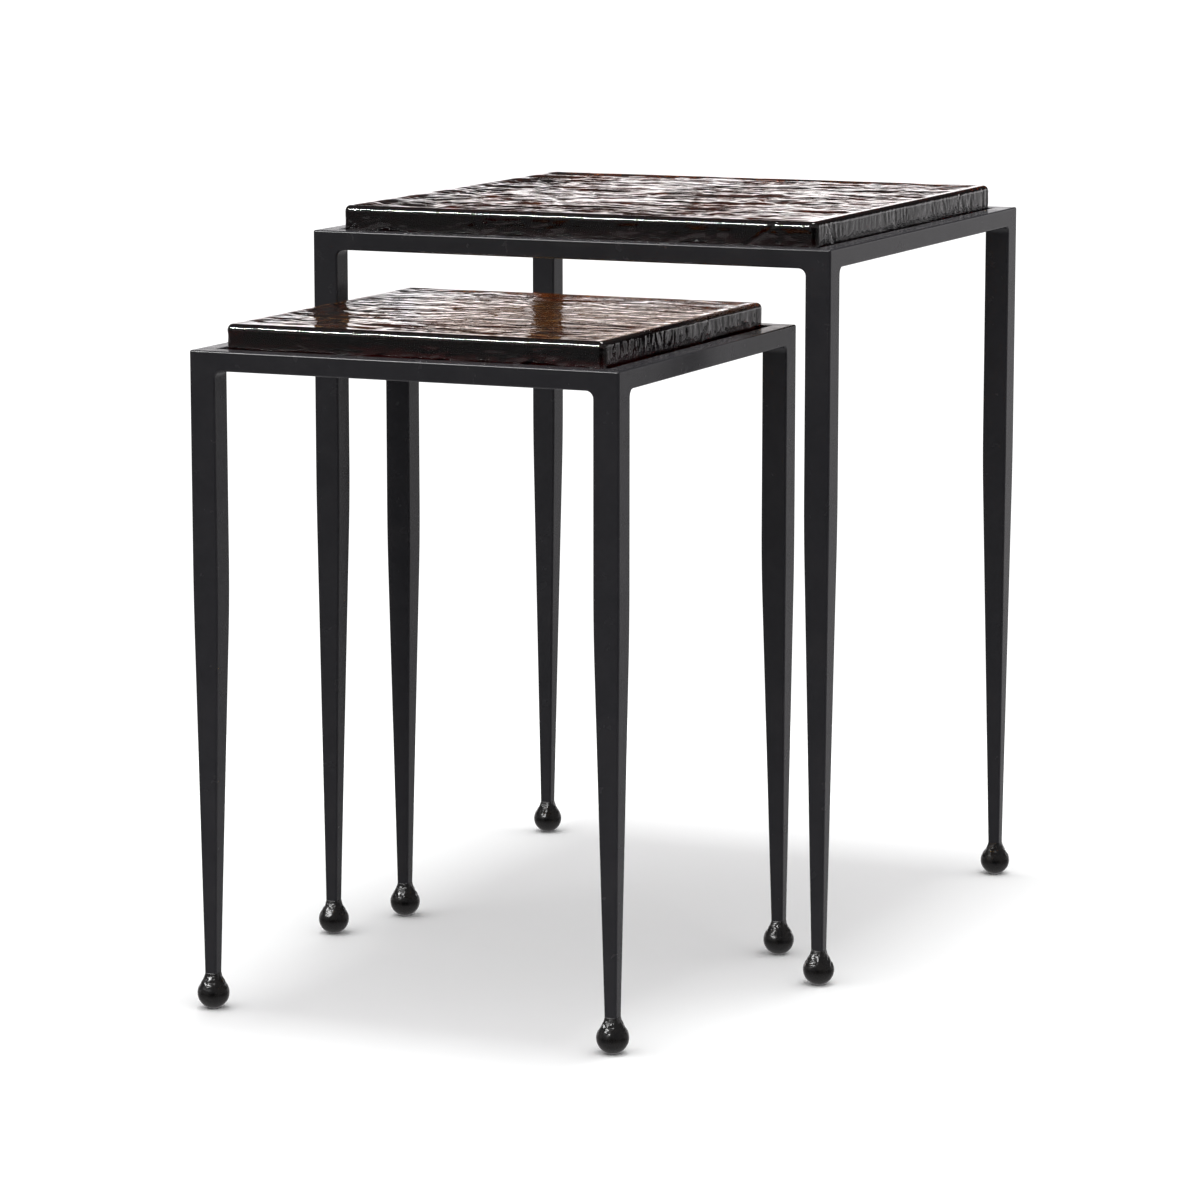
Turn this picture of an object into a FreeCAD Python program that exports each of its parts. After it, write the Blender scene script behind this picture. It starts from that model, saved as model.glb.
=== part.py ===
import FreeCAD, Part
import math
import os
from FreeCAD import Vector

# A pair of square nesting end tables.  Each one is a blackened iron frame (four tapered legs with
# coved heads, four straight rails, four ball feet) holding a thick cast-glass slab, which lies
# loose on a ledge inside the ring of rails.  The smaller table slides under the larger one.
#
# Millimetres, +Z up.  The origin is on the floor, at the middle of the box around both tables as
# they stand: the small table half drawn out towards -Y, near the large table's left legs.

# Large and small table
LARGE_SIDE = 452.0            # outside of the iron frame
SMALL_SIDE = 359.0
LARGE_RING_TOP = 590.0        # height of the frame's upper face
SMALL_RING_TOP = 519.5
LARGE_GLASS_TOP = 609.6       # total height, 24 inches
SMALL_GLASS_TOP = 538.5
LARGE_GLASS_SIDE = 415.6      # the slab lies free in its ring, with 2.2 mm all round
SMALL_GLASS_SIDE = 318.6      # and 4.2 mm here
SMALL_SHIFT_X = -20.0         # the small table's centre from the large table's centre
SMALL_SHIFT_Y = -306.8

# Ring of rails
RAIL_WIDTH = 16.0
RAIL_HEIGHT = 15.5
STUB_LENGTH = 30.0            # how far a leg's head runs along each rail from the outer corner
EDGE_RADIUS = 1.5             # softened edges of all bars

# Legs: a square shank, straight at first and then tapered to the neck above the foot
LEG_WIDTH = 21.3
COVE_RADIUS = 6.0             # inside corner between leg and rail
NECK_WIDTH = 10.0
FOOT_OUTSET = 2.05            # how far the foot's axis stands out from the leg's own axis
KNEE_SHARE = 0.382            # where the taper starts, as a share of the height down to the ball
KNEE_BLEND = 28.0             # length of the soft bend each side of that

# Ball feet
BALL_RADIUS = 12.6
BALL_CENTRE_Z = 12.3          # a little lower than the radius, so that the ball has a small flat
FLARE_TOP = 16.2              # top of the flare above the ball's centre
FLARE_BASE = 6.8              # where the flare runs into the ball, above the ball's centre

# Glass slab, its ledge and its pads
GLASS_TOP_ROUND = 5.0
GLASS_CORNER_ROUND = 5.0
GLASS_BOTTOM_ROUND = 2.0
LEDGE_WIDTH = 12.0
LEDGE_THICKNESS = 4.0
PAD_RADIUS = 5.0
PAD_THICKNESS = 1.5
PAD_INSET = 40.0              # from the ring's inner corner to a pad's centre, along a ledge

# The small table's frame from the large one's, and both from the middle of their common box
SPAN_Y = LARGE_SIDE / 2 - SMALL_SHIFT_Y + SMALL_SIDE / 2
LARGE_CENTRE = Vector(0, SPAN_Y / 2 - LARGE_SIDE / 2, 0)
SMALL_CENTRE = Vector(SMALL_SHIFT_X, LARGE_CENTRE.y + SMALL_SHIFT_Y, 0)

NECK_Z = BALL_CENTRE_Z + FLARE_TOP
FOOT_AXIS = LEG_WIDTH / 2 - FOOT_OUTSET   # from the frame's outer faces
SIDES = ("front", "right", "back", "left")
CORNERS = ("front_left", "front_right", "back_right", "back_left")


def bar(low, high):
    """A plain block between two opposite corners."""
    size = high - low
    return Part.makeBox(size.x, size.y, size.z, low)


def quarter_turned(shape, quarters):
    """The shape turned about the table's own vertical axis."""
    turned = shape.copy()
    turned.rotate(Vector(0, 0, 0), Vector(0, 0, 1), 90 * quarters)
    return turned


def soft_bend(start, knee, end, reach):
    """Edges from start to end by way of knee, with a tangent arc that begins `reach` from it."""
    towards_start = (start - knee).normalize()
    towards_end = (end - knee).normalize()
    half_angle = towards_start.getAngle(towards_end) / 2
    arc_start = knee + towards_start * reach
    arc_end = knee + towards_end * reach
    radius = reach * math.tan(half_angle)
    middle_reach = radius / math.sin(half_angle) - radius
    arc_middle = knee + (towards_start + towards_end).normalize() * middle_reach
    return [
        Part.LineSegment(start, arc_start).toShape(),
        Part.Arc(arc_start, arc_middle, arc_end).toShape(),
        Part.LineSegment(arc_end, end).toShape(),
    ]


def shank_slab(ring_top):
    """The shank's outline seen square on, in XZ, made a little deeper than the leg is wide."""
    top = ring_top - RAIL_HEIGHT
    knee = ring_top - KNEE_SHARE * (ring_top - BALL_CENTRE_Z)
    outer_foot = Vector(FOOT_AXIS - NECK_WIDTH / 2, 0, NECK_Z)
    inner_foot = Vector(FOOT_AXIS + NECK_WIDTH / 2, 0, NECK_Z)
    outer_top = Vector(0, 0, top)
    inner_top = Vector(LEG_WIDTH, 0, top)
    edges = soft_bend(outer_top, Vector(0, 0, knee), outer_foot, KNEE_BLEND)
    edges.append(Part.LineSegment(outer_foot, inner_foot).toShape())
    edges += soft_bend(inner_foot, Vector(LEG_WIDTH, 0, knee), inner_top, KNEE_BLEND)
    edges.append(Part.LineSegment(inner_top, outer_top).toShape())
    slab = Part.Face(Part.Wire(edges)).extrude(Vector(0, 2 * LEG_WIDTH, 0))
    slab.translate(Vector(0, -LEG_WIDTH / 2, 0))
    return slab


def swapped(shape):
    """The shape with X and Y exchanged."""
    return shape.mirror(Vector(0, 0, 0), Vector(1, -1, 0))


def cove(ring_bottom):
    """Concave wedge under the rail, in the corner between it and the shank."""
    corner = Vector(LEG_WIDTH, 0, ring_bottom)
    tip = corner + Vector(COVE_RADIUS, 0, 0)
    toe = corner - Vector(0, 0, COVE_RADIUS)
    centre = tip - Vector(0, 0, COVE_RADIUS)
    hollow = centre + Vector(-COVE_RADIUS, 0, COVE_RADIUS) * math.sqrt(0.5)
    edges = [
        Part.LineSegment(corner, tip).toShape(),
        Part.Arc(tip, hollow, toe).toShape(),
        Part.LineSegment(toe, corner).toShape(),
    ]
    return Part.Face(Part.Wire(edges)).extrude(Vector(0, RAIL_WIDTH, 0))


def edge_span(edge):
    """The lowest and highest corner of an edge's bounding box, as (x, y, z) tuples."""
    box = edge.BoundBox
    return (box.XMin, box.YMin, box.ZMin), (box.XMax, box.YMax, box.ZMax)


def leg(ring_top):
    """One leg casting: tapered shank, coved head and two stubs that the rails butt against.

    Its outer corner is the Z axis, and its stubs run along +X and +Y.
    """
    ring_bottom = ring_top - RAIL_HEIGHT
    slab = shank_slab(ring_top)
    shank = slab.common(swapped(slab))
    stub = bar(Vector(0, 0, ring_bottom), Vector(STUB_LENGTH, RAIL_WIDTH, ring_top))
    wedge = cove(ring_bottom)
    body = shank.multiFuse([stub, swapped(stub), wedge, swapped(wedge)]).removeSplitter()
    rounded = body.makeFillet(EDGE_RADIUS, [e for e in body.Edges if softened(e, ring_top)])
    return rounded.Solids[0]


def softened(edge, ring_top):
    """Whether an edge of the sharp leg casting is one that is rounded over."""
    ring_bottom = ring_top - RAIL_HEIGHT
    low, high = edge_span(edge)
    tolerance = 0.001
    across_stub_end = max(low[0], low[1]) > STUB_LENGTH - tolerance
    across_shank = high[2] - low[2] < tolerance and high[2] < ring_bottom - tolerance
    if across_stub_end or across_shank:
        return False
    on_outer_face = high[0] < tolerance or high[1] < tolerance
    on_top = low[2] > ring_top - tolerance
    along_shank = high[2] - low[2] > COVE_RADIUS + tolerance and high[2] < ring_bottom + tolerance
    return on_outer_face or on_top or along_shank


def rail(side_length, ring_top):
    """The front rail: a straight bar between two leg heads, rounded on its two upper edges and
    its lower outer one."""
    half = side_length / 2
    end = half - STUB_LENGTH
    body = bar(
        Vector(-end, -half, ring_top - RAIL_HEIGHT),
        Vector(end, -half + RAIL_WIDTH, ring_top),
    )
    rounded = []
    for edge in body.Edges:
        low, high = edge_span(edge)
        runs_along = high[0] - low[0] > 1
        inner_bottom = low[1] > -half + 1 and high[2] < ring_top - 1
        if runs_along and not inner_bottom:
            rounded.append(edge)
    return body.makeFillet(EDGE_RADIUS, rounded)


def rounded_square(width, corner, z):
    """Wire of a square with round corners, as sides and corner arcs in turn from the +X side."""
    half = width / 2
    flat = half - corner
    edges = []
    for quarter in range(4):
        turn = FreeCAD.Rotation(Vector(0, 0, 1), 90 * quarter)
        diagonal = (flat + corner * math.sqrt(0.5))
        points = [
            Vector(half, -flat, z),
            Vector(half, flat, z),
            Vector(diagonal, diagonal, z),
            Vector(flat, half, z),
        ]
        side_start, side_end, arc_middle, arc_end = [turn.multVec(p) for p in points]
        edges.append(Part.LineSegment(side_start, side_end).toShape())
        edges.append(Part.Arc(side_end, arc_middle, arc_end).toShape())
    return Part.Wire(edges)


def split_circle(radius, side_angle, z):
    """Wire of a circle cut into eight arcs, to match the eight edges of a rounded square."""
    edges = []
    for quarter in range(4):
        middle = 90 * quarter
        for start, end in ((middle - side_angle, middle + side_angle),
                           (middle + side_angle, middle + 90 - side_angle)):
            points = []
            for degrees in (start, (start + end) / 2, end):
                angle = math.radians(degrees)
                points.append(Vector(radius * math.cos(angle), radius * math.sin(angle), z))
            edges.append(Part.Arc(*points).toShape())
    return Part.Wire(edges)


def ball_foot():
    """A ball with a small flat under it, flaring up to the square neck.  Its axis is Z."""
    flare_z = BALL_CENTRE_Z + FLARE_BASE
    flare_radius = math.sqrt(BALL_RADIUS ** 2 - FLARE_BASE ** 2)
    ball = Part.makeSphere(BALL_RADIUS, Vector(0, 0, BALL_CENTRE_Z))
    ball = ball.common(bar(
        Vector(-2 * BALL_RADIUS, -2 * BALL_RADIUS, 0),
        Vector(2 * BALL_RADIUS, 2 * BALL_RADIUS, flare_z),
    ))
    neck = rounded_square(NECK_WIDTH, EDGE_RADIUS, NECK_Z)
    half_flat = NECK_WIDTH / 2 - EDGE_RADIUS
    side_angle = math.degrees(math.atan2(half_flat, NECK_WIDTH / 2))
    base = split_circle(flare_radius, side_angle, flare_z)
    flare = Part.makeLoft([base, neck], True, True)
    return ball.fuse(flare)


def ledge(side_length, ring_top, is_long):
    """The front ledge: a flat bar welded inside the rails, level with their undersides.

    The long ones run the whole way, and the short ones fit between them.
    """
    inner = side_length / 2 - RAIL_WIDTH
    end = inner if is_long else inner - LEDGE_WIDTH
    bottom = ring_top - RAIL_HEIGHT
    return bar(
        Vector(-end, -inner, bottom),
        Vector(end, -inner + LEDGE_WIDTH, bottom + LEDGE_THICKNESS),
    )


def pads(side_length, ring_top):
    """Four clear pads, one near each corner, on the front and back ledges."""
    inner = side_length / 2 - RAIL_WIDTH
    across = inner - PAD_INSET
    along = inner - LEDGE_WIDTH / 2
    top_of_ledge = ring_top - RAIL_HEIGHT + LEDGE_THICKNESS
    solids = []
    for x in (-across, across):
        for y in (-along, along):
            solids.append(Part.makeCylinder(PAD_RADIUS, PAD_THICKNESS, Vector(x, y, top_of_ledge)))
    return Part.makeCompound(solids)


def glass_slab(glass_side, ring_top, glass_top):
    """The cast slab, lying on the pads, with a well rounded top edge and upright corners."""
    half = glass_side / 2
    bottom = ring_top - RAIL_HEIGHT + LEDGE_THICKNESS + PAD_THICKNESS
    slab = bar(Vector(-half, -half, bottom), Vector(half, half, glass_top))
    upright = [e for e in slab.Edges if e.BoundBox.ZLength > 1]
    slab = slab.makeFillet(GLASS_CORNER_ROUND, upright)
    top_edges = [e for e in slab.Edges if e.BoundBox.ZMin > glass_top - 0.01]
    slab = slab.makeFillet(GLASS_TOP_ROUND, top_edges)
    bottom_edges = [e for e in slab.Edges if e.BoundBox.ZMax < bottom + 0.01]
    return slab.makeFillet(GLASS_BOTTOM_ROUND, bottom_edges)


def table(prefix, side_length, ring_top, glass_side, glass_top, centre):
    """All the pieces of one table, as {node name: shape}, standing at its place."""
    pieces = {}
    corner = Vector(-side_length / 2, -side_length / 2, 0)
    leg_shape = leg(ring_top)
    leg_shape.translate(corner)
    foot_shape = ball_foot()
    foot_shape.translate(corner + Vector(FOOT_AXIS, FOOT_AXIS, 0))
    for quarter, name in enumerate(CORNERS):
        pieces[f"{prefix}_{name}_leg"] = quarter_turned(leg_shape, quarter)
        pieces[f"{prefix}_{name}_ball_foot"] = quarter_turned(foot_shape, quarter)
    for quarter, name in enumerate(SIDES):
        is_long = name in ("front", "back")
        pieces[f"{prefix}_{name}_rail"] = quarter_turned(rail(side_length, ring_top), quarter)
        pieces[f"{prefix}_{name}_ledge"] = quarter_turned(
            ledge(side_length, ring_top, is_long), quarter)
    pieces[f"{prefix}_glass_pads"] = pads(side_length, ring_top)
    pieces[f"{prefix}_glass_top"] = glass_slab(glass_side, ring_top, glass_top)
    for shape in pieces.values():
        shape.translate(centre)
    return pieces


def main():
    os.makedirs("parts", exist_ok=True)
    pieces = table("large", LARGE_SIDE, LARGE_RING_TOP, LARGE_GLASS_SIDE, LARGE_GLASS_TOP,
                   LARGE_CENTRE)
    pieces.update(table("small", SMALL_SIDE, SMALL_RING_TOP, SMALL_GLASS_SIDE, SMALL_GLASS_TOP,
                        SMALL_CENTRE))
    for name, shape in pieces.items():
        if not shape.isValid() or shape.Volume <= 0:
            raise ValueError(f"{name} is not a sound solid")
        shape.exportStep(f"parts/{name}.step")
        print(f"{name}: {len(shape.Solids)} solid(s), {shape.Volume / 1000:.1f} cm3")


main()
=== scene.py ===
import math

import bpy
import numpy as np
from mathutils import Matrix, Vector, noise


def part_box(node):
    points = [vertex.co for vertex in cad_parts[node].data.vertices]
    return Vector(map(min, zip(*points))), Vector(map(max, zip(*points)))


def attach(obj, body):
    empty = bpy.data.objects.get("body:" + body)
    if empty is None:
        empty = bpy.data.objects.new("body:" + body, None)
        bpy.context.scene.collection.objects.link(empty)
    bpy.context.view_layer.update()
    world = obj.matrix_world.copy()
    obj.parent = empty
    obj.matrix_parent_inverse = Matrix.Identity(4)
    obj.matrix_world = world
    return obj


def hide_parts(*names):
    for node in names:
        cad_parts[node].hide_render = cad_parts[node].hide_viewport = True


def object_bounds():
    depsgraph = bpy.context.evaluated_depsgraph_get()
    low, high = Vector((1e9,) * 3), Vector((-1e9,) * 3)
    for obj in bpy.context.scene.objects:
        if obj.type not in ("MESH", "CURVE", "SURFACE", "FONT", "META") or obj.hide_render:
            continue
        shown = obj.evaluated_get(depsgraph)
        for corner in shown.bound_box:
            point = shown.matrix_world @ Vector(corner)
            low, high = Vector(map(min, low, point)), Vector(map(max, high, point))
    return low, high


# Looks for a pair of nesting tables: blackened iron frames with forged ball feet, and cast amber
# glass slabs with wrinkled tops.  Lengths are in metres, in the frame's own coordinates.

MM = 0.001
NOISE_SEED = 1

# Camera: it aims at a point given from the middle of the object's box
CAMERA_AZIMUTH = 23.7
CAMERA_PITCH = 9.5
CAMERA_DISTANCE = 3.826
CAMERA_LENS = 138.6
CAMERA_AIM = Vector((-0.0121, 0.0, -0.0215))

# Light.  The surroundings are two bright regions, each the product of a share by direction and
# a light by height, and a dome overhead that lights things but isn't mirrored in them; stops are
# (cosine or sine from -1 to 1, level).
FLOOR_RADIUS = 0.95
BACKDROP_DIRECTION = Vector((-0.40, 0.916, 0.0))
BACKDROP_SIDES = ((-1.0, 0.02), (-0.90, 0.05), (-0.72, 0.26), (-0.1, 0.18), (0.6, 0.42), (0.92, 1.0))
BACKDROP_HEIGHTS = (
    (-1.0, 0.80),
    (-0.02, 0.90),
    (0.00, 1.85),
    (0.06, 1.85),
    (0.12, 1.35),
    (0.19, 0.14),
    (0.28, 0.03),
    (0.52, 0.10),
    (1.0, 0.15),
)
ROOM_SIDES = ((-1.0, 1.0), (0.1, 1.0), (0.6, 0.1), (0.85, 0.0))
ROOM_HEIGHTS = (
    (-1.0, 0.60),
    (-0.5, 0.45),
    (-0.25, 0.0),
    (-0.02, 0.0),
    (0.15, 0.30),
    (0.50, 0.45),
    (1.0, 0.20),
)
DOME_HEIGHTS = ((0.50, 0.0), (0.68, 1.34), (1.0, 1.34))
LIGHT_TINT = (1.0, 0.975, 0.99, 1.0)
PLAIN_WHITE = 1.2             # strength of the white that the camera sees past the floor

# Ball feet
FOOT_RINGS = 84
FOOT_SPOKES = 96
FLARE_BASE = 6.8 * MM         # where the flare leaves the ball, above the ball's middle
NECK_HALF = 5.0 * MM
NECK_ROUND = 1.5 * MM
BALL_FLAT = 0.3 * MM          # how much of the ball is missing where it stands on the floor
BALL_DENT = 0.10 * MM
FLARE_DENT = 0.85 * MM

# Glass slabs
EDGE_ROUND = 5.0 * MM         # the upright corners and the top edge
BOTTOM_ROUND = 2.0 * MM
BOTTOM_RIM = 1.2 * MM         # flat band inside the bottom rounding, up to the underside's face
TOP_STEP = 1.7 * MM           # spacing of the mesh over the top
LARGE_TOP_RELIEF = 2.7 * MM
SMALL_TOP_RELIEF = 1.3 * MM
LARGE_TOP_WAVE = 38 * MM      # breadth of the widest wrinkles
SMALL_TOP_WAVE = 27 * MM
SIDE_RELIEF = 0.8 * MM
FOLD_DEPTH = 0.45 * MM
FOLD_WIDTH = 1.1 * MM


# ---------------------------------------------------------------- shader helpers

class Shader:
    """A material's node tree, with short calls to add and join nodes."""

    def __init__(self, name):
        self.material = bpy.data.materials.new(name)
        self.material.use_nodes = True
        self.tree = self.material.node_tree
        self.tree.nodes.clear()
        self.output = self.tree.nodes.new("ShaderNodeOutputMaterial")
        self.surface = self.add("ShaderNodeBsdfPrincipled")
        self.join(self.surface, "BSDF", self.output, "Surface")

    def add(self, kind, **values):
        node = self.tree.nodes.new(kind)
        for key, value in values.items():
            setattr(node, key, value)
        return node

    def join(self, source, output, target, socket):
        self.tree.links.new(source.outputs[output], target.inputs[socket])

    def constants(self, **values):
        """Sets inputs of the Principled shader; a name's underscores stand for spaces."""
        for key, value in values.items():
            self.surface.inputs[key.replace("_", " ")].default_value = value

    def noise(self, scale, detail=4.0, roughness=0.55, distortion=0.0, stretch=(1, 1, 1)):
        """A noise over the object's own coordinates, scale being waves per metre."""
        place = self.add("ShaderNodeTexCoord")
        mapping = self.add("ShaderNodeMapping")
        mapping.inputs["Scale"].default_value = stretch
        texture = self.add("ShaderNodeTexNoise")
        texture.inputs["Scale"].default_value = scale
        texture.inputs["Detail"].default_value = detail
        texture.inputs["Roughness"].default_value = roughness
        texture.inputs["Distortion"].default_value = distortion
        self.join(place, "Object", mapping, "Vector")
        self.join(mapping, "Vector", texture, "Vector")
        return texture

    def ramp(self, source, output, stops):
        """A colour ramp of (position, colour) stops, with grey values allowed."""
        node = self.add("ShaderNodeValToRGB")
        elements = node.color_ramp.elements
        while len(elements) < len(stops):
            elements.new(0.5)
        for element, (position, colour) in zip(elements, stops):
            element.position = position
            rgb = (colour,) * 3 if isinstance(colour, float) else colour
            element.color = (*rgb, 1.0)
        self.join(source, output, node, "Fac")
        return node

    def range(self, source, output, low, high, new_low, new_high):
        node = self.add("ShaderNodeMapRange")
        for name, value in (("From Min", low), ("From Max", high),
                            ("To Min", new_low), ("To Max", new_high)):
            node.inputs[name].default_value = value
        self.join(source, output, node, "Value")
        return node

    def bump(self, source, output, strength, distance, under=None):
        node = self.add("ShaderNodeBump")
        node.inputs["Strength"].default_value = strength
        node.inputs["Distance"].default_value = distance
        self.join(source, output, node, "Height")
        if under is not None:
            self.join(under, "Normal", node, "Normal")
        return node


def iron_material():
    """Bar stock with a satin black finish: faint mottling, brush drag and fine pits."""
    shader = Shader("satin_black_iron")
    shader.constants(Metallic=0.0, IOR=1.5, Specular_IOR_Level=0.26)
    mottle = shader.noise(28.0, detail=5.0, roughness=0.6, distortion=0.4)
    colour = shader.ramp(mottle, "Fac", (
        (0.30, (0.0185, 0.0185, 0.0210)),
        (0.55, (0.0215, 0.0212, 0.0240)),
        (0.80, (0.0255, 0.0245, 0.0265)),
    ))
    shader.join(colour, "Color", shader.surface, "Base Color")
    drag = shader.noise(70.0, detail=3.0, distortion=0.3)
    rough = shader.range(drag, "Fac", 0.3, 0.7, 0.20, 0.28)
    shader.join(rough, "Result", shader.surface, "Roughness")
    swell = shader.noise(14.0, detail=1.0)
    wave = shader.bump(swell, "Fac", 0.04, 4.0 * MM)
    pits = shader.noise(900.0, detail=2.0, roughness=0.5)
    grain = shader.bump(pits, "Fac", 0.03, 0.25 * MM, under=wave)
    shader.join(grain, "Normal", shader.surface, "Normal")
    return shader.material


def forged_material():
    """The feet: the same black finish, darker and stained where the metal was hammered."""
    shader = Shader("forged_black_iron")
    shader.constants(Metallic=0.0, IOR=1.5, Specular_IOR_Level=0.30)
    stain = shader.noise(160.0, detail=4.0, roughness=0.6)
    colour = shader.ramp(stain, "Fac", (
        (0.35, (0.0030, 0.0030, 0.0033)),
        (0.70, (0.0075, 0.0062, 0.0052)),
    ))
    shader.join(colour, "Color", shader.surface, "Base Color")
    rough = shader.range(stain, "Fac", 0.3, 0.7, 0.20, 0.34)
    shader.join(rough, "Result", shader.surface, "Roughness")
    pits = shader.noise(1400.0, detail=2.0)
    grain = shader.bump(pits, "Fac", 0.10, 0.15 * MM)
    shader.join(grain, "Normal", shader.surface, "Normal")
    return shader.material


def glass_material():
    """Cast amber glass: clear at its skin and coloured by its depth, with a matt underside."""
    shader = Shader("cast_amber_glass")
    shader.constants(IOR=1.5, Transmission_Weight=1.0, Base_Color=(1.0, 0.985, 0.96, 1.0))
    smear = shader.noise(45.0, detail=3.0, distortion=0.5)
    polish = shader.range(smear, "Fac", 0.35, 0.75, 0.01, 0.045)
    place = shader.add("ShaderNodeTexCoord")
    heights = shader.add("ShaderNodeSeparateXYZ")
    shader.join(place, "Generated", heights, "Vector")
    underside = shader.range(heights, "Z", 0.003, 0.010, 0.12, 0.0)
    rough = shader.add("ShaderNodeMath", operation="ADD")
    shader.tree.links.new(polish.outputs["Result"], rough.inputs[0])
    shader.tree.links.new(underside.outputs["Result"], rough.inputs[1])
    shader.join(rough, "Value", shader.surface, "Roughness")
    grain = shader.noise(110.0, detail=2.0, roughness=0.5, distortion=0.6)
    skin = shader.bump(grain, "Fac", 0.012, 0.6 * MM)
    shader.join(skin, "Normal", shader.surface, "Normal")
    depth = shader.add("ShaderNodeVolumeAbsorption")
    depth.inputs["Color"].default_value = (0.80, 0.54, 0.10, 1.0)
    depth.inputs["Density"].default_value = 66.0
    shader.join(depth, "Volume", shader.output, "Volume")
    return shader.material


def pad_material():
    """Soft clear bumper pads, a little cloudy."""
    shader = Shader("clear_soft_pad")
    shader.constants(IOR=1.45, Transmission_Weight=0.7)
    cloud = shader.noise(300.0, detail=2.0)
    colour = shader.ramp(cloud, "Fac", ((0.3, (0.72, 0.72, 0.70)), (0.7, (0.84, 0.84, 0.82))))
    shader.join(colour, "Color", shader.surface, "Base Color")
    rough = shader.range(cloud, "Fac", 0.3, 0.7, 0.30, 0.45)
    shader.join(rough, "Result", shader.surface, "Roughness")
    return shader.material


def floor_material():
    shader = Shader("pale_floor")
    shader.constants(Base_Color=(0.905, 0.925, 0.915, 1.0), Roughness=0.9, Specular_IOR_Level=0.1)
    return shader.material


# ---------------------------------------------------------------- mesh helpers

def piece(name, vertices, faces, material):
    """A smooth-shaded mesh object with one material."""
    mesh = bpy.data.meshes.new(name)
    mesh.from_pydata([tuple(v) for v in vertices], [], [tuple(f) for f in faces])
    mesh.validate()
    mesh.materials.append(material)
    mesh.shade_smooth()
    made = bpy.data.objects.new(name, mesh)
    bpy.context.scene.collection.objects.link(made)
    return made


def ring_faces(first, second):
    """Quads between two closed rings of vertex numbers, skipping those that have collapsed."""
    faces = []
    count = len(first)
    for i in range(count):
        j = (i + 1) % count
        corners = [first[i], first[j], second[j], second[i]]
        kept = [c for k, c in enumerate(corners) if c != corners[k - 1]]
        if len(kept) > 2:
            faces.append(kept)
    return faces


def smooth_step(low, high, value):
    share = np.clip((value - low) / (high - low), 0.0, 1.0)
    return share * share * (3.0 - 2.0 * share)


def wrinkle(x, y, z, octaves, seed):
    """Rounded folds parted by sharp valleys, about 0 to 1 high, at one point.

    Each octave is its share, and its wave lengths along x, y and z.
    """
    total = 0.0
    for number, (share, *waves) in enumerate(octaves):
        place = Vector((x / waves[0], y / waves[1], z / waves[2] + seed + 7.3 * number))
        place += 0.55 * noise.noise_vector(place * 0.6 + Vector((3.1, seed, 9.7)))
        total += share * min(1.0, 2.2 * abs(noise.noise(place)))
    return total


# ---------------------------------------------------------------- ball feet

def square_radius(angle):
    """Distance from the middle of the rounded square neck to its outline."""
    c, s = abs(math.cos(angle)), abs(math.sin(angle))
    reach = NECK_HALF / max(c, s)
    inner = NECK_HALF - NECK_ROUND
    if min(c, s) * reach > inner:
        along = inner * (c + s)
        reach = along + math.sqrt(max(along ** 2 - 2 * inner ** 2 + NECK_ROUND ** 2, 0.0))
    return reach


def foot_profile(angle, ball_radius, centre_z, neck_z):
    """Points (radius, z) from under the ball up to the neck, in one direction."""
    flare_z = centre_z + FLARE_BASE
    flare_radius = math.sqrt(ball_radius ** 2 - FLARE_BASE ** 2)
    neck_radius = square_radius(angle)
    ball_rings = FOOT_RINGS * 2 // 3
    top_angle = math.asin(FLARE_BASE / ball_radius)
    points = []
    for k in range(1, ball_rings + 1):
        turn = -math.pi / 2 + (top_angle + math.pi / 2) * k / ball_rings
        z = centre_z + ball_radius * math.sin(turn)
        points.append((ball_radius * math.cos(turn), max(z, 0.0)))
    flare_rings = FOOT_RINGS - ball_rings
    for k in range(1, flare_rings + 1):
        share = k / flare_rings
        hollow = 0.5 * MM * math.sin(math.pi * share) * share
        radius = flare_radius + (neck_radius - flare_radius) * share - hollow
        points.append((radius, flare_z + (neck_z - flare_z) * share))
    return points


def dented(point, axis, centre_z, neck_z, seed):
    """The point pushed inwards by hammer dents, which are deepest on the flare."""
    out = Vector((point.x - axis.x, point.y - axis.y, point.z - centre_z))
    flare = float(smooth_step(centre_z + 1.0 * MM, centre_z + 7.0 * MM, point.z))
    flare *= 1.0 - float(smooth_step(neck_z - 3.0 * MM, neck_z, point.z))
    place = point / (5.2 * MM) + Vector((seed, 0, 0))
    lump = abs(noise.noise(place + 0.8 * noise.noise_vector(place * 0.7)))
    fine = abs(noise.noise(place * 2.3 + Vector((0, seed, 0))))
    above_floor = float(smooth_step(0.0, 4.0 * MM, point.z))
    depth = BALL_DENT * lump * above_floor + FLARE_DENT * flare * (lump + 0.45 * fine)
    out.normalize()
    return point - out * depth


def forged_foot(node, name, seed, material):
    """A dented ball foot in the place of its plain CAD node."""
    low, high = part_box(node)
    axis = (low + high) / 2
    ball_radius = (high.x - low.x) / 2
    centre_z = ball_radius - BALL_FLAT
    vertices = []
    rings = []
    profiles = []
    angles = [2 * math.pi * k / FOOT_SPOKES for k in range(FOOT_SPOKES)]
    for angle in angles:
        profiles.append(foot_profile(angle, ball_radius, centre_z, high.z))
    for k in range(FOOT_RINGS):
        ring = []
        for angle, profile in zip(angles, profiles):
            radius, z = profile[k]
            point = Vector((axis.x + radius * math.cos(angle), axis.y + radius * math.sin(angle), z))
            ring.append(len(vertices))
            vertices.append(dented(point, axis, centre_z, high.z, seed))
        rings.append(ring)
    faces = []
    for lower, upper in zip(rings, rings[1:]):
        faces += ring_faces(lower, upper)
    faces.append(rings[0][::-1])
    faces.append(rings[-1])
    return piece(name, vertices, faces, material)


# ---------------------------------------------------------------- glass slabs

def even_steps(length, step):
    """Places from -length/2 to length/2, at most a step apart."""
    return np.linspace(-length / 2, length / 2, int(math.ceil(length / step)) + 1)


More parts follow.
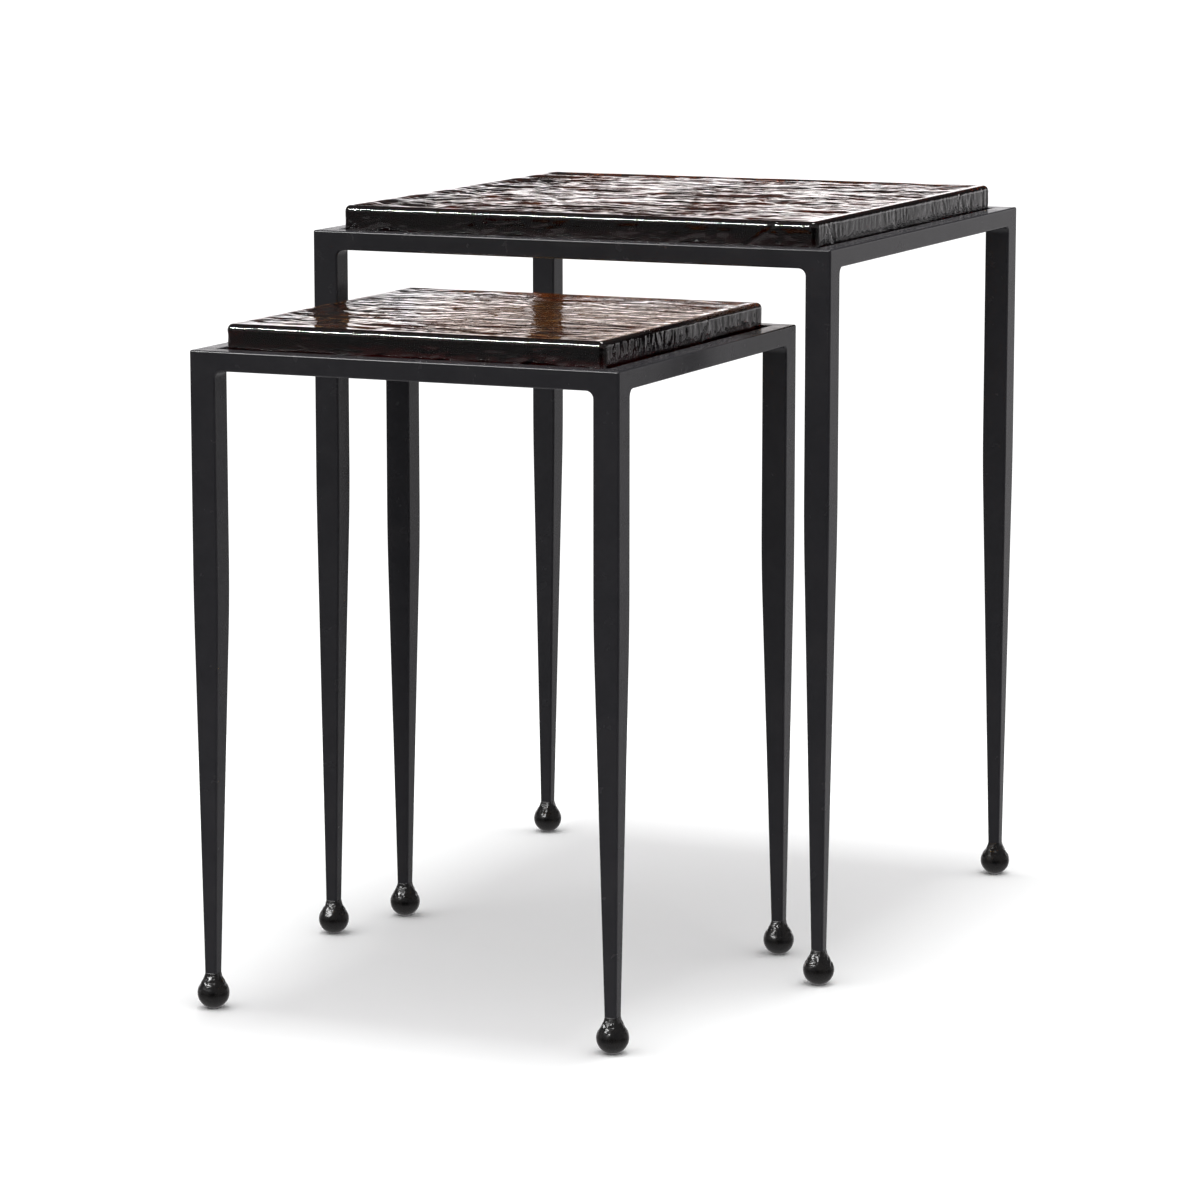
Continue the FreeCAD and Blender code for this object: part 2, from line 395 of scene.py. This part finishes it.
def slab_profile(height):
    """(inset, z, outwards, upwards) from the flat underside to the top's square, up one side."""
    points = [(BOTTOM_ROUND + BOTTOM_RIM, 0.0, 0.0, -1.0)]
    for turn in np.linspace(-math.pi / 2, 0.0, 5):
        c, s = math.cos(turn), math.sin(turn)
        points.append((BOTTOM_ROUND * (1 - c), BOTTOM_ROUND * (1 + s), c, s))
    flat = height - EDGE_ROUND - BOTTOM_ROUND
    for z in even_steps(flat, 1.1 * MM)[1:-1]:
        points.append((0.0, BOTTOM_ROUND + flat / 2 + z, 1.0, 0.0))
    for turn in np.linspace(0.0, math.pi / 2, 11):
        c, s = math.cos(turn), math.sin(turn)
        points.append((EDGE_ROUND * (1 - c), height - EDGE_ROUND * (1 - s), c, s))
    return points


def side_relief(along, z, height, side, seed):
    """How far a side is pressed in at a place along it: upright wrinkles on the right and the
    back, and long ripples that leave the top edge smooth on the other two, in patches."""
    is_upright = side in (1, 2)
    if is_upright:
        octaves = ((0.7, 7 * MM, 1.0, 26 * MM), (0.3, 3.5 * MM, 1.0, 9 * MM))
        fade_start, fade_end = height - 6 * MM, height - 1 * MM
    else:
        octaves = ((0.65, 30 * MM, 1.0, 11 * MM), (0.35, 12 * MM, 1.0, 5 * MM))
        fade_start, fade_end = height - 10 * MM, height - 5 * MM
    patch = 0.7 + 0.9 * noise.noise(Vector((along / (45 * MM), z / (40 * MM), seed * 1.7)))
    patch = min(1.0, max(0.3, patch))
    middle = float(smooth_step(0.0, 4 * MM, z) * (1 - smooth_step(fade_start, fade_end, z)))
    sway = 0.3 * MM * (0.6 + noise.noise(Vector((along / (60 * MM), 0.0, seed * 2.3))))
    return sway + SIDE_RELIEF * patch * middle * wrinkle(along, 0.0, z, octaves, seed)


def fold_depth(along, z, height, folds):
    """Depth of the laps that cross a side, each running from one place at the bottom to one at
    the top."""
    depth = 0.0
    for bottom, top in folds:
        centre = bottom + (top - bottom) * z / height
        lean = (top - bottom) / height
        distance = (along - centre) / math.sqrt(1 + lean ** 2)
        lap = math.exp(-(distance / FOLD_WIDTH) ** 2)
        swell = math.exp(-(distance / (4 * FOLD_WIDTH)) ** 2) if distance > 0 else 0.0
        depth += FOLD_DEPTH * (lap + 0.35 * swell)
    return depth


def top_relief(x, y, half, relief, wave, seed, arcs):
    """How far the top is pressed in at a place, measured from the slab's middle; wave is the
    breadth of its widest wrinkles."""
    octaves = (
        (0.55, 2.24 * wave, wave, 1.0),
        (0.29, wave, 0.47 * wave, 1.0),
        (0.16, 0.45 * wave, 0.21 * wave, 1.0),
    )
    edge = half - max(abs(x), abs(y))
    calm = float(smooth_step(4 * MM, 18 * MM, edge))
    patch = 0.8 + 0.6 * noise.noise(Vector((x / (110 * MM), y / (110 * MM), seed * 0.7)))
    patch += 0.25 * float(smooth_step(0.3 * half, 0.9 * half, -x))
    depth = relief * calm * patch * (1.0 - wrinkle(x, y, 0.0, octaves, seed))
    for centre_x, centre_y, radius in arcs:
        distance = math.hypot(x - centre_x, y - centre_y) - radius
        depth += FOLD_DEPTH * calm * math.exp(-(distance / (1.6 * MM)) ** 2)
    return depth


def cast_slab(node, name, relief, wave, seed, folds, arcs, material):
    """A wrinkled slab in the place of its plain CAD node.

    folds gives the laps on each side as shares of its length, sides in turn front, right, back
    and left, each from its own left end as seen from outside.  arcs are (x, y, radius) of the
    curved laps on the top, as shares of half the side.
    """
    low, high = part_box(node)
    middle = (low + high) / 2
    half = (high.x - low.x) / 2
    height = high.z - low.z
    inner = half - EDGE_ROUND
    ticks = even_steps(2 * inner, TOP_STEP)
    count = len(ticks)
    arc_angles = np.linspace(0.0, math.pi / 2, 8)[1:-1]
    side_arcs = [(x * half, y * half, radius * half) for x, y, radius in arcs]

    # The perimeter, once round: each side's ticks, then its end corner's arc
    loop = []
    for side in range(4):
        angle = side * math.pi / 2 - math.pi / 2
        out = Vector((math.cos(angle), math.sin(angle), 0))
        along = Vector((-out.y, out.x, 0))
        side_folds = [((b - 0.5) * 2 * half, (t - 0.5) * 2 * half) for b, t in folds[side]]
        for tick in ticks:
            loop.append((out * inner + along * tick, out, tick, side, side_folds))
        for turn in arc_angles:
            bent = out * math.cos(turn) + along * math.sin(turn)
            place = inner + EDGE_ROUND * math.sin(turn)
            loop.append((out * inner + along * inner, bent, place, side, side_folds))

    vertices = []
    rings = []
    for inset, z, outwards, upwards in slab_profile(height):
        ring = []
        for base, out, tick, side, side_folds in loop:
            spread = EDGE_ROUND - inset
            if spread < 1e-9 and ring and (base - previous).length < 1e-9:
                ring.append(ring[-1])
                continue
            previous = base
            point = base + out * spread
            sink_side = side_relief(tick, z, height, side, seed + 3.0 * side)
            sink_side += fold_depth(tick, z, height, side_folds)
            sink_top = 0.0
            if upwards > 0:
                sink_top = top_relief(point.x, point.y, half, relief, wave, seed, side_arcs)
            point -= out * (outwards * sink_side)
            point.z = z - upwards * sink_top
            ring.append(len(vertices))
            vertices.append(point)
        rings.append(ring)
    rim = rings[-1]
    last = rim[-1]
    rim[:] = [rim[0] if number == last else number for number in rim]
    faces = []
    for lower, upper in zip(rings, rings[1:]):
        faces += ring_faces(lower, upper)

    # The underside is flat, and the top is a grid whose rim is the last ring
    faces.append(rings[0][::-1])
    per_side = count + len(arc_angles)
    grid = np.zeros((count, count), int)
    for k in range(count):
        grid[0, k] = rim[k]
        grid[k, count - 1] = rim[per_side + k]
        grid[count - 1, count - 1 - k] = rim[2 * per_side + k]
        grid[count - 1 - k, 0] = rim[3 * per_side + k]
    for row in range(1, count - 1):
        for column in range(1, count - 1):
            x, y = ticks[column], ticks[row]
            grid[row, column] = len(vertices)
            sink = top_relief(x, y, half, relief, wave, seed, side_arcs)
            vertices.append(Vector((x, y, height - sink)))
    for row in range(count - 1):
        for column in range(count - 1):
            faces.append([grid[row, column], grid[row, column + 1],
                          grid[row + 1, column + 1], grid[row + 1, column]])
    base = Vector((middle.x, middle.y, low.z))
    return piece(name, [v + base for v in vertices], faces, material)


# ---------------------------------------------------------------- stage

def add_floor():
    mesh = bpy.data.meshes.new("floor")
    spokes = 128
    ring = [(FLOOR_RADIUS * math.cos(2 * math.pi * k / spokes),
             FLOOR_RADIUS * math.sin(2 * math.pi * k / spokes), 0.0) for k in range(spokes)]
    mesh.from_pydata(ring, [], [tuple(range(spokes))])
    mesh.materials.append(floor_material())
    floor = bpy.data.objects.new("floor", mesh)
    floor.visible_glossy = False         # reflections see the surroundings instead
    bpy.context.scene.collection.objects.link(floor)


def add_world():
    """Studio surroundings: a bright backdrop low behind the tables, a dim room all round and a
    dome overhead.  What the camera sees past the floor is plain white."""
    world = bpy.data.worlds.new("studio")
    bpy.context.scene.world = world
    world.use_nodes = True
    tree = world.node_tree
    tree.nodes.clear()
    place = tree.nodes.new("ShaderNodeTexCoord")
    towards = tree.nodes.new("ShaderNodeVectorMath")
    towards.operation = "DOT_PRODUCT"
    towards.inputs[1].default_value = BACKDROP_DIRECTION.normalized()
    tree.links.new(place.outputs["Generated"], towards.inputs[0])
    split = tree.nodes.new("ShaderNodeSeparateXYZ")
    tree.links.new(place.outputs["Generated"], split.inputs[0])

    def levels(source, stops):
        """A grey ramp over a value from -1 to 1."""
        rise = tree.nodes.new("ShaderNodeMapRange")
        rise.inputs["From Min"].default_value = -1.0
        tree.links.new(source, rise.inputs["Value"])
        ramp = tree.nodes.new("ShaderNodeValToRGB")
        elements = ramp.color_ramp.elements
        while len(elements) < len(stops):
            elements.new(0.5)
        for element, (value, light) in zip(elements, stops):
            element.position = (value + 1) / 2
            element.color = (light, light, light, 1.0)
        tree.links.new(rise.outputs["Result"], ramp.inputs["Fac"])
        return ramp.outputs["Color"]

    def combined(operation, first, second):
        node = tree.nodes.new("ShaderNodeMath")
        node.operation = operation
        tree.links.new(first, node.inputs[0])
        tree.links.new(second, node.inputs[1])
        return node.outputs[0]

    regions = []
    for sides, heights in ((BACKDROP_SIDES, BACKDROP_HEIGHTS), (ROOM_SIDES, ROOM_HEIGHTS)):
        regions.append(combined("MULTIPLY", levels(towards.outputs["Value"], sides),
                                levels(split.outputs["Z"], heights)))
    path = tree.nodes.new("ShaderNodeLightPath")
    unmirrored = tree.nodes.new("ShaderNodeMath")
    unmirrored.operation = "SUBTRACT"
    unmirrored.inputs[0].default_value = 1.0
    tree.links.new(path.outputs["Is Glossy Ray"], unmirrored.inputs[1])
    dome = combined("MULTIPLY", levels(split.outputs["Z"], DOME_HEIGHTS), unmirrored.outputs[0])
    total = combined("ADD", combined("ADD", *regions), dome)
    light = tree.nodes.new("ShaderNodeBackground")
    light.inputs["Color"].default_value = LIGHT_TINT
    tree.links.new(total, light.inputs["Strength"])
    seen = tree.nodes.new("ShaderNodeBackground")
    seen.inputs["Color"].default_value = (1.0, 1.0, 1.0, 1.0)
    seen.inputs["Strength"].default_value = PLAIN_WHITE
    mix = tree.nodes.new("ShaderNodeMixShader")
    tree.links.new(path.outputs["Is Camera Ray"], mix.inputs[0])
    tree.links.new(light.outputs[0], mix.inputs[1])
    tree.links.new(seen.outputs[0], mix.inputs[2])
    output = tree.nodes.new("ShaderNodeOutputWorld")
    tree.links.new(mix.outputs[0], output.inputs["Surface"])


def add_softbox(name, direction, distance, width, height, power, aim):
    """A rectangular soft light that looks at aim from a direction; returns its object."""
    data = bpy.data.lights.new(name, "AREA")
    data.shape = "RECTANGLE"
    data.size = width
    data.size_y = height
    data.energy = power
    light = bpy.data.objects.new(name, data)
    away = Vector(direction).normalized()
    light.location = aim + away * distance
    light.rotation_euler = away.to_track_quat("Z", "Y").to_euler()
    bpy.context.scene.collection.objects.link(light)
    return light


def add_camera(centre):
    azimuth, pitch = math.radians(CAMERA_AZIMUTH), math.radians(CAMERA_PITCH)
    back = Vector((
        math.sin(azimuth) * math.cos(pitch),
        -math.cos(azimuth) * math.cos(pitch),
        math.sin(pitch),
    ))
    data = bpy.data.cameras.new("camera")
    data.lens = CAMERA_LENS
    data.sensor_width = 36.0
    camera = bpy.data.objects.new("camera", data)
    camera.location = centre + CAMERA_AIM + back * CAMERA_DISTANCE
    camera.rotation_euler = back.to_track_quat("Z", "Y").to_euler()
    bpy.context.scene.collection.objects.link(camera)
    bpy.context.scene.camera = camera


# ---------------------------------------------------------------- the object

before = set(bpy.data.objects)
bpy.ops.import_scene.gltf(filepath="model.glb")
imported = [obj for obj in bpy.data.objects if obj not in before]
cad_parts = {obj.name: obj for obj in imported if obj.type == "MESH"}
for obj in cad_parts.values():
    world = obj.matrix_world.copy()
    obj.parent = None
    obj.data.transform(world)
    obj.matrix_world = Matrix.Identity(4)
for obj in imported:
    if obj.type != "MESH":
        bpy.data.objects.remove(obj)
cad_low, cad_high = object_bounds()
centre = (cad_low + cad_high) / 2
noise.seed_set(NOISE_SEED)    # without a seed, noise vectors change from run to run

iron = iron_material()
forged = forged_material()
glass = glass_material()
clear = pad_material()

for name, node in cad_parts.items():
    node.data.materials.clear()
    node.data.materials.append(clear if name.endswith("_pads") else iron)

CORNERS = ("front_left", "front_right", "back_right", "back_left")
for table, body in (("large", "large_table"), ("small", "small_table")):
    for number, corner in enumerate(CORNERS):
        node = f"{table}_{corner}_ball_foot"
        seed = 11.0 * number + (5.0 if table == "small" else 0.0)
        foot = forged_foot(node, f"{table}_{corner}_forged_foot", seed, forged)
        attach(foot, body)
        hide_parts(node)

LARGE_FOLDS = (((0.82, 0.925),), ((0.12, 0.05), (0.75, 0.82), (0.955, 0.955)), (), ())
SMALL_FOLDS = ((), ((0.56, 0.64),), (), ())
large_slab = cast_slab("large_glass_top", "large_cast_slab", LARGE_TOP_RELIEF, LARGE_TOP_WAVE,
                       4.0, LARGE_FOLDS, ((-0.1, -1.4, 2.2),), glass)
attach(large_slab, "large_glass")
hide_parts("large_glass_top")
small_slab = cast_slab("small_glass_top", "small_cast_slab", SMALL_TOP_RELIEF, SMALL_TOP_WAVE,
                       21.0, SMALL_FOLDS, ((0.2, -1.2, 1.9),), glass)
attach(small_slab, "small_glass")
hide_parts("small_glass_top")

add_floor()
add_world()
add_softbox("overhead", (0.0, 0.0, 1.0), 2.4, 0.9, 0.9, 44.0, centre)
highlights = add_softbox("highlights", (-0.46, -0.71, 0.60), 2.6, 1.2, 0.32, 100.0, centre)
highlights.visible_transmission = False
highlights.visible_diffuse = False       # it casts no shadow on the floor
add_camera(centre)
bpy.context.scene.view_settings.view_transform = "Standard"
bpy.context.scene.cycles.caustics_refractive = False
